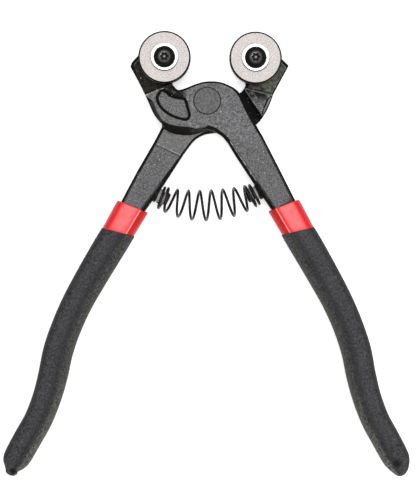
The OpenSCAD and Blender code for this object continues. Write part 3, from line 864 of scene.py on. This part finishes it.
def washer(side, axis, body):
    """A plated washer with a rolled edge, with painted shade on its edge, darkest on the side that faces the
    handles.
    """
    r, bottom, top = round_box(side + "_wheel_washer")
    r -= 0.25
    roll, shade, fade, chamfer = 0.2, 0.12, 0.06, 0.1
    profile = [(BORE_R, bottom), (r - chamfer, bottom), (r, bottom + chamfer)] \
        + rounded((r - roll, top - roll), roll, 0, 90) \
        + [(r - roll - shade, top), (r - roll - shade - fade, top), (BORE_R, top)]
    obj = finish_mesh(side + "_washer_plated", lathe(profile, along_axis(axis), 128), PLATE)
    add_flank_shade(obj, 0.8, 0.4)
    marks = obj.data.attributes["flank"].data
    # Painted shade along the outer edge, on the side that faces the handles.
    for loop in obj.data.loops:
        co = obj.data.vertices[loop.vertex_index].co
        out = Vector((co.x - axis.x, co.y - axis.y)) / MM
        if out.length > r - roll - shade - 0.01 and co.z / MM > top - roll:
            marks[loop.index].value = ramped(out.y / out.length, -0.7, 0.4, 1, 0)
    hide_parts(side + "_wheel_washer")
    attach(obj, body)


def lobed(angle, outer, inner):
    """Radius of a six-lobe socket at an angle."""
    wave = 0.5 + 0.5 * math.cos(6 * angle)
    return inner + (outer - inner) * wave ** 0.8


def wheel_screw(side, axis, body):
    """Button head with a six-lobe socket and a pin in its middle, over a plain shank."""
    head_r, bottom, top = round_box(side + "_wheel_screw")
    head_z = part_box(side + "_wheel_washer")[1].z / MM
    sides, sharp = 96, 32
    angles = [2 * math.pi * i / sides for i in range(sides)]
    flat_r, rim, chamfer = 2.15, 0.45, 0.12
    socket_out, socket_in, socket_depth = 1.85, 1.3, 1.7
    pin_r, pin_drop = 0.62, 0.75
    highlight_from = math.radians(125)

    def ring(r, z, tone=0.0):
        return [(r * math.cos(a), r * math.sin(a), z) for a in angles], [tone] * sides

    def lobes(grow, z, tone=0.0, highlight=0.0):
        """A ring of the socket; the last argument paints a highlight on its upper left."""
        reach = [lobed(a, socket_out + grow, socket_in + grow) for a in angles]
        return [(r * math.cos(a), r * math.sin(a), z) for r, a in zip(reach, angles)], \
            [tone + highlight * max(0.0, math.cos(a - highlight_from)) for a in angles]

    shank = [ring(BORE_R - 0.3, bottom), ring(BORE_R, bottom + 0.3), ring(BORE_R, head_z),
             ring(head_r - chamfer, head_z), ring(head_r, head_z + chamfer)]
    # The dome turns a lighter grey near its level top: painted sheen.
    dome = [ring(flat_r + (head_r - flat_r) * math.cos(math.radians(a)),
                 head_z + rim + (top - head_z - rim) * math.sin(math.radians(a)), ramped(a, 73, 84, 0, 0.12))
            for a in range(0, 86, 8)]
    # The socket's mouth: lighter grey, with a painted highlight at its upper left.
    mouth = [ring(flat_r - 0.03, top, 0.15), lobes(0.16, top - 0.02, 0.18, 0.8),
             lobes(0.07, top - 0.06, 0.1, 0.6), lobes(0.02, top - 0.12), lobes(0, top - 0.25),
             lobes(-0.03, top - socket_depth)]
    # The pin's top is lighter grey: painted sheen where it faces up.
    pin = [ring(pin_r, top - socket_depth), ring(pin_r, top - pin_drop - 0.15, 0.2),
           ring(pin_r - 0.12, top - pin_drop, 0.5), ring(0.2, top - pin_drop, 0.75)]
    rings = shank + dome + mouth + pin
    bm = loft([points for points, tones in rings])
    bmesh.ops.transform(bm, matrix=along_axis(axis), verts=bm.verts[:])
    obj = finish_mesh(side + "_screw_button", bm, OXIDE, sharp)
    obj.data.attributes.new("tone", "FLOAT", "POINT").data.foreach_set(
        "value", [tone for points, tones in rings for tone in tones])
    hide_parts(side + "_wheel_screw")
    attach(obj, body)


pivot_rivet()
cutting_wheel("left", LEFT_WHEEL)
cutting_wheel("right", RIGHT_WHEEL)
for build in (washer, wheel_screw):
    build("left", LEFT_WHEEL, FRONT)
    build("right", RIGHT_WHEEL, BACK)


# ---------------------------------------------------------------- spring and its studs

# Lengths in millimetres. Each stud's foot and direction are in plan, the foot from the pivot.
STUD_TILT = math.radians(25.0)
STUDS = {"left": (Vector((-21.8, -39.3)), Vector((math.cos(STUD_TILT), -math.sin(STUD_TILT)))),
         "right": (Vector((22.2, -38.2)), Vector((-math.cos(STUD_TILT), -math.sin(STUD_TILT))))}
SPOT_DEPTH = 1.2
TAIL_R, TAIL_END = 1.5, -SPOT_DEPTH - 3.5
FLANGE_R, NECK_R, HEAD_R, STUD_LENGTH = 3.5, 2.55, 3.05, 6.0
# A stud from its tail to its end: [radius, distance along the stud, tone].
STUD_PROFILE = [
    (0, TAIL_END, 0), (TAIL_R, TAIL_END, 0), (TAIL_R, -SPOT_DEPTH, 0), (FLANGE_R - 0.2, -SPOT_DEPTH, 0),
    (FLANGE_R, -SPOT_DEPTH + 0.2, 0), (FLANGE_R, 0.75, 0), (FLANGE_R - 0.08, 0.92, 0.1),
    (FLANGE_R - 0.25, 1.0, 0), (NECK_R + 0.5, 1.0, 0), (NECK_R + 0.3, 1.2, 0.8), (NECK_R + 0.25, 2.6, 0.95),
    (NECK_R + 0.1, 2.8, 0),
    (NECK_R - 0.4, 2.9, 0), (NECK_R - 0.4, 3.25, 0), (NECK_R + 0.1, 3.35, 0), (HEAD_R - 0.1, 3.5, 0.75),
    (HEAD_R, 3.7, 0.85), (HEAD_R, 4.3, 0.55), (HEAD_R - 0.15, 4.7, 0.1), (HEAD_R - 0.35, 5.2, 0),
    (NECK_R, 5.75, 0), (NECK_R - 0.35, 5.95, 0.1), (0, STUD_LENGTH, 0),
]


def spring_stud(side, body):
    at, way = STUDS[side]
    node = side + "_spring_stud"
    place = Matrix.Translation(Vector((at.x, at.y, MID_Z)) * MM + PIVOT_IN_PLAN) \
        @ Matrix.Rotation(math.atan2(way.y, way.x), 4, "Z") @ Matrix.Rotation(math.pi / 2, 4, "Y")
    sides = 64
    turned = lathe([(r, along) for r, along, tone in STUD_PROFILE], place, sides)
    obj = finish_mesh(node + "_turned", turned, STUD, 30)
    obj.data.attributes.new("tone", "FLOAT", "POINT").data.foreach_set(
        "value", [tone for r, along, tone in STUD_PROFILE for _ in range(1 if r == 0 else sides)])
    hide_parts(node)
    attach(obj, body)


# How far each end of the spring is along its stud, how far it hangs, and how stiffly it leaves the stud.
SPRING_GAP, SPRING_SAG, SPRING_REACH = 1.7, 0.5, 13.3
# How far beyond each end the blend starts, as a share of the length. At 0 the middle coils would fold.
BLEND_MARGIN = 0.13
WIRE_D, END_D, MID_D = 1.15, 9.8, 13.8
# Turns in all, close together at each end, and opening out, and the part of a turn that the wire starts at.
TURNS, CLOSE_TURNS, RAMP_TURNS, START = 10.0, 1.0, 1.0, 0.35
CLOSE_PITCH = 1.6
LINE_STEPS, RINGS_PER_TURN, WIRE_SIDES = 24, 40, 14
# Size of the closing ring at each end of the wire, as a share of the wire.
WIRE_END = 0.75


def spring_guide():
    """The four control points of the curve that the spring's middle line follows."""
    ends = [at + SPRING_GAP * way - Vector((0, SPRING_SAG)) for at, way in STUDS.values()]
    ways = [way for at, way in STUDS.values()]
    return [ends[0], ends[0] + SPRING_REACH * ways[0], ends[1] + SPRING_REACH * ways[1], ends[1]]


def return_spring():
    """A barrel-shaped coil of round wire that bends between the two levers."""
    g = spring_guide()

    def line(t):
        u = 1 - t
        return u ** 3 * g[0] + 3 * u ** 2 * t * g[1] + 3 * u * t ** 2 * g[2] + t ** 3 * g[3]

    def slope(t):
        u = 1 - t
        d = u ** 2 * (g[1] - g[0]) + 2 * u * t * (g[2] - g[1]) + t ** 2 * (g[3] - g[2])
        return math.atan2(d.y, d.x)

    stops = [line(i / LINE_STEPS) for i in range(LINE_STEPS + 1)]
    length = sum((b - a).length for a, b in zip(stops, stops[1:]))
    open_pitch = (length - 2 * CLOSE_PITCH * CLOSE_TURNS - CLOSE_PITCH * RAMP_TURNS) \
        / (TURNS - 2 * CLOSE_TURNS - RAMP_TURNS)

    def half(k):
        """How far along the line the wire is after k turns from its nearer end."""
        if k <= CLOSE_TURNS:
            return CLOSE_PITCH * k
        if k <= CLOSE_TURNS + RAMP_TURNS:
            return CLOSE_PITCH * k + (open_pitch - CLOSE_PITCH) * (k - CLOSE_TURNS) ** 2 / (2 * RAMP_TURNS)
        return half(CLOSE_TURNS + RAMP_TURNS) + open_pitch * (k - CLOSE_TURNS - RAMP_TURNS)

    def place(k):
        return (half(k) if k <= TURNS / 2 else length - half(TURNS - k)) / length

    def out(k):
        """Direction from the middle line to the wire."""
        a, b = slope(place(k)), 2 * math.pi * (k - START)
        return Vector((-math.cos(b) * math.sin(a), math.cos(b) * math.cos(a), math.sin(b)))

    def point(k):
        t = min(max(place(k), 0.0), 1.0)
        p = line(t)
        radius = (END_D - WIRE_D + (MID_D - END_D) * max(math.sin(math.pi * t), 0.0) ** 0.8) / 2
        return Vector((p.x, p.y, MID_Z)) + radius * out(k)

    def ring(k, scale=1.0):
        step = 0.01
        heading = (point(min(k + step, TURNS)) - point(max(k - step, 0))).normalized()
        side = heading.cross(out(k)).normalized()
        outward = side.cross(heading)
        centre = PIVOT_IN_PLAN / MM + point(k)
        return [centre + scale * WIRE_D / 2 * (math.cos(b) * outward + math.sin(b) * side)
                for b in (2 * math.pi * j / WIRE_SIDES for j in range(WIRE_SIDES))]

    count = int(TURNS * RINGS_PER_TURN)
    rings = [ring(i / RINGS_PER_TURN) for i in range(count + 1)]
    rings = [ring(0, WIRE_END)] + rings + [ring(TURNS, WIRE_END)]
    obj = finish_mesh("return_spring_coil", loft(rings), WIRE, 60)
    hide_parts("return_spring")
    ends = [PIVOT_IN_PLAN + Vector((p.x, p.y, MID_Z)) * MM for p in (g[0], g[3])]
    beyond_end = BLEND_MARGIN * (ends[1] - ends[0])
    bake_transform(obj, BACK, FRONT, start=ends[0] - beyond_end, end=ends[1] + beyond_end)


spring_stud("left", BACK)
spring_stud("right", FRONT)
return_spring()


# ---------------------------------------------------------------- grips

# Stations along the right handle, relative to the pivot, in millimetres:
# [x, y, angle of the section in plan, half width, half thickness].
COLLAR_FRONT = [32.1, -44.4, 21.9, 7.35, 6.5]
COLLAR_REAR = [38.3, -55.3, 14.0, 7.2, 6.8]
HANDLE_MIDDLE = [
    [44.0, -65.1, 27, 6.9, 7], [49.8, -75.1, 29.5, 6.7, 7], [55.3, -85.2, 28, 6.5, 7],
    [59.8, -95.3, 23, 6.4, 7], [63.4, -105.9, 17, 6.4, 7], [65.6, -116.5, 14.5, 6.3, 7],
    [68.1, -125.9, 17, 6.1, 7], [71.7, -135.3, 23, 6, 7], [76.1, -143.3, 27, 6, 6.8],
    [80.4, -151.2, 26, 5.8, 6.2],
]
# The right grip's tip tapers more evenly than the left one's, which has a nub. The left one is mirrored.
LEFT_TIP = [
    [82, -154.2, 24, 4.9, 5.3], [82.7, -156.2, 20, 3.4, 3.8], [83, -157.2, 17, 2.7, 2.9],
    [83.1, -158.2, 15, 2.5, 2.7], [83.2, -159, 15, 1.7, 1.9], [83.3, -159.4, 15, 0.6, 0.6],
]
RIGHT_TIP = [
    [81.87, -154.2, 24, 5.0, 5.3], [82.5, -156.2, 20, 4.0, 4.2], [82.8, -157.2, 17, 3.3, 3.4],
    [82.9, -158.2, 15, 2.5, 2.7], [83.0, -159, 15, 1.6, 1.8], [83.1, -159.4, 15, 0.5, 0.6],
]
SLEEVE_INSIDE = [39.9, -58.3, 18.0, 5.8, 5.6]
# Each handle is turned by this many degrees about a point of its own, so that it lies as photographed.
CANT, CANT_CENTRE = 0.4, Vector((70, -107))
# How far the sleeve lies inside the grip's surface.
STEP = 0.3
# Upper half of the section, outer side first, as shares of the half width and half thickness.
HALF_SECTION = [(1.0, 0.0), (1.0, 0.22), (0.975, 0.45), (0.905, 0.68), (0.79, 0.85), (0.63, 0.95),
                (0.42, 0.99), (0.15, 1.0), (-0.12, 1.0), (-0.34, 0.985), (-0.47, 0.95)]
INNER_FLANK = [(-0.53, 0.915), (-0.62, 0.83), (-0.76, 0.68), (-0.88, 0.5), (-0.965, 0.28), (-1.0, 0.08)]


def section_shape():
    """Normalised section of a handle: rounded outside, a crisp edge and a sloping flank on the inner side."""
    upper = smooth(HALF_SECTION, 3) + smooth(INNER_FLANK, 3)
    lower = [(u, -v) for u, v in reversed(upper[1:])]
    return [tuple(p) for p in upper] + lower


SECTION = section_shape()


def handle_ring(station, side, shrink=0.0, scale=1.0):
    """One ring of a handle in row millimetres; side is 1 on the right and -1 on the left."""
    x, y, angle, half_w, half_t = station
    half_w, half_t = (half_w - shrink) * scale, (half_t - shrink) * scale
    c, s = math.cos(math.radians(angle)), math.sin(math.radians(angle))
    cant = math.radians(-CANT * side)
    points = []
    for u, v in SECTION:
        p = Vector((x + u * half_w * c, y + u * half_w * s)) - CANT_CENTRE
        q = Vector((p.x * math.cos(cant) - p.y * math.sin(cant),
                    p.x * math.sin(cant) + p.y * math.cos(cant))) + CANT_CENTRE
        points.append((side * q.x + PIVOT.x / MM, q.y + PIVOT.y / MM, MID_Z + v * half_t))
    return points


def beyond(station, d):
    """The station moved d millimetres along the handle, away from its tip when d is negative."""
    x, y, angle, half_w, half_t = station
    a = math.radians(angle)
    return [x + d * math.sin(a), y - d * math.cos(a), angle, half_w, half_t]


def mark_section(obj):
    """Marks a handle's inner flank, the line on its inner edge that takes a painted highlight, the strip
    beside it that takes painted crease shade, and its outer side, which takes painted shade.
    """
    n = len(SECTION)
    marks = {
        "bevelled": [1.0 if u < -0.56 and v > 0 else 0.0 for u, v in SECTION],
        "edge_highlight": [1.0 if -0.56 < u < -0.49 and v > 0 else 0.0 for u, v in SECTION],
        "crease_shade": [max(0.0, 1 - abs(u + 0.3) / 0.34) if v > 0 else 0.0 for u, v in SECTION],
        "outer": [ramped(u, 0.55, 0.95, 0, 1) for u, v in SECTION],
    }
    for name, values in marks.items():
        obj.data.attributes.new(name, "FLOAT", "POINT").data.foreach_set(
            "value", [values[v.index % n] for v in obj.data.vertices])


# The dimple that dipping left at each tip: x and y from the pivot, radius, all in millimetres, and the
# darkness of the painted shade in it.
DIMPLES = {-1: (-82.3, -157.0, 1.9, 1.0), 1: (80.3, -153.6, 2.3, 0.75)}
DIMPLE_DEPTH = 0.5


def press_dimple(obj, side):
    """Sinks the dimple at the tip of a grip and darkens it with painted shade."""
    x, y, r, tone = DIMPLES[side]
    dark = obj.data.attributes.new("dimple", "FLOAT", "POINT").data
    for v in obj.data.vertices:
        share = ramped((from_pivot(v.co) - Vector((x, y))).length, 0.4 * r, r, 1, 0)
        if share > 0 and v.co.z / MM > MID_Z:
            v.co.z -= DIMPLE_DEPTH * share * MM
            dark[v.index].value = share * tone


def red_sleeve(side_name, side, body):
    node = side_name + "_red_sleeve"
    rings = [handle_ring(COLLAR_FRONT, side, STEP, 0.8),
             handle_ring(COLLAR_FRONT, side, STEP + 0.55),
             handle_ring(beyond(COLLAR_FRONT, 0.08), side, STEP + 0.25),
             handle_ring(beyond(COLLAR_FRONT, 0.3), side, STEP + 0.06)]
    rings += [handle_ring(s, side, STEP) for s in smooth([COLLAR_FRONT, COLLAR_REAR], 6)[1:]]
    rings.append(handle_ring(SLEEVE_INSIDE, side))
    obj = finish_mesh(node + "_dipped", loft(rings), RED, 28)
    mark_section(obj)
    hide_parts(node)
    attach(obj, body)


def black_grip(side_name, side, body):
    node = side_name + "_black_grip"
    stations = [beyond(COLLAR_REAR, 0.4)] + HANDLE_MIDDLE + (RIGHT_TIP if side > 0 else LEFT_TIP)
    rings = [handle_ring(COLLAR_REAR, side, STEP + 0.5),
             handle_ring(COLLAR_REAR, side, 0.22),
             handle_ring(beyond(COLLAR_REAR, 0.15), side, 0.06)]
    rings += [handle_ring(s, side) for s in smooth(stations, 7)]
    obj = finish_mesh(node + "_dipped", loft(rings), RUBBER, 40)
    mark_section(obj)
    press_dimple(obj, side)
    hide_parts(node)
    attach(obj, body)


for name, sign, rides_on in (("right", 1, FRONT), ("left", -1, BACK)):
    red_sleeve(name, sign, rides_on)
    black_grip(name, sign, rides_on)


# ---------------------------------------------------------------- floor, light, camera

WHITE = (1.0, 1.0, 1.0, 1.0)
FLOOR_HALF, FLOOR_Z = 3.0, -0.0002


def floor():
    """A plain pale sheet that the tool lies on."""
    bm = bmesh.new()
    corners = ((-1, -1), (1, -1), (1, 1), (-1, 1))
    bm.faces.new([bm.verts.new((x * FLOOR_HALF, y * FLOOR_HALF, FLOOR_Z)) for x, y in corners])
    mesh = bpy.data.meshes.new("floor")
    bm.to_mesh(mesh)
    bm.free()
    mat, tree, shader = new_material("floor_white")
    grain = noise(tree, coordinates(tree), 60, 3)
    drive(tree, shader, {
        "Base Color": mixed(tree, grain, grey(0.93), grey(0.96)), "Roughness": 0.9, "Specular IOR Level": 0.1,
        "Emission Color": WHITE, "Emission Strength": 0.5,
    })
    mesh.materials.append(mat)
    obj = bpy.data.objects.new("floor", mesh)
    bpy.context.scene.collection.objects.link(obj)


def soft_light(name, place, size, power):
    """A round area light that faces the middle of the tool."""
    light = bpy.data.lights.new(name, "AREA")
    light.shape = "DISK"
    light.size = size
    light.energy = power
    obj = bpy.data.objects.new(name, light)
    obj.location = place
    obj.rotation_euler = (-Vector(place)).to_track_quat("-Z", "Y").to_euler()
    bpy.context.scene.collection.objects.link(obj)


def world():
    w = bpy.data.worlds.new("studio")
    w.use_nodes = True
    background = w.node_tree.nodes["Background"]
    background.inputs["Color"].default_value = WHITE
    background.inputs["Strength"].default_value = 0.35
    bpy.context.scene.world = w


def camera():
    """Looks straight down on the tool, as the photograph does."""
    data = bpy.data.cameras.new("camera")
    data.lens = 138.0
    data.sensor_width = 36.0
    data.clip_start, data.clip_end = 0.05, 20.0
    obj = bpy.data.objects.new("camera", data)
    obj.location = (0.00055, 0.00605, 0.793)
    bpy.context.scene.collection.objects.link(obj)
    bpy.context.scene.camera = obj


floor()
soft_light("key", (0.02, 0.25, 1.3), 0.9, 12)
soft_light("fill", (0.5, -0.6, 1.1), 0.8, 5)
world()
camera()
bpy.context.scene.view_settings.view_transform = "Standard"
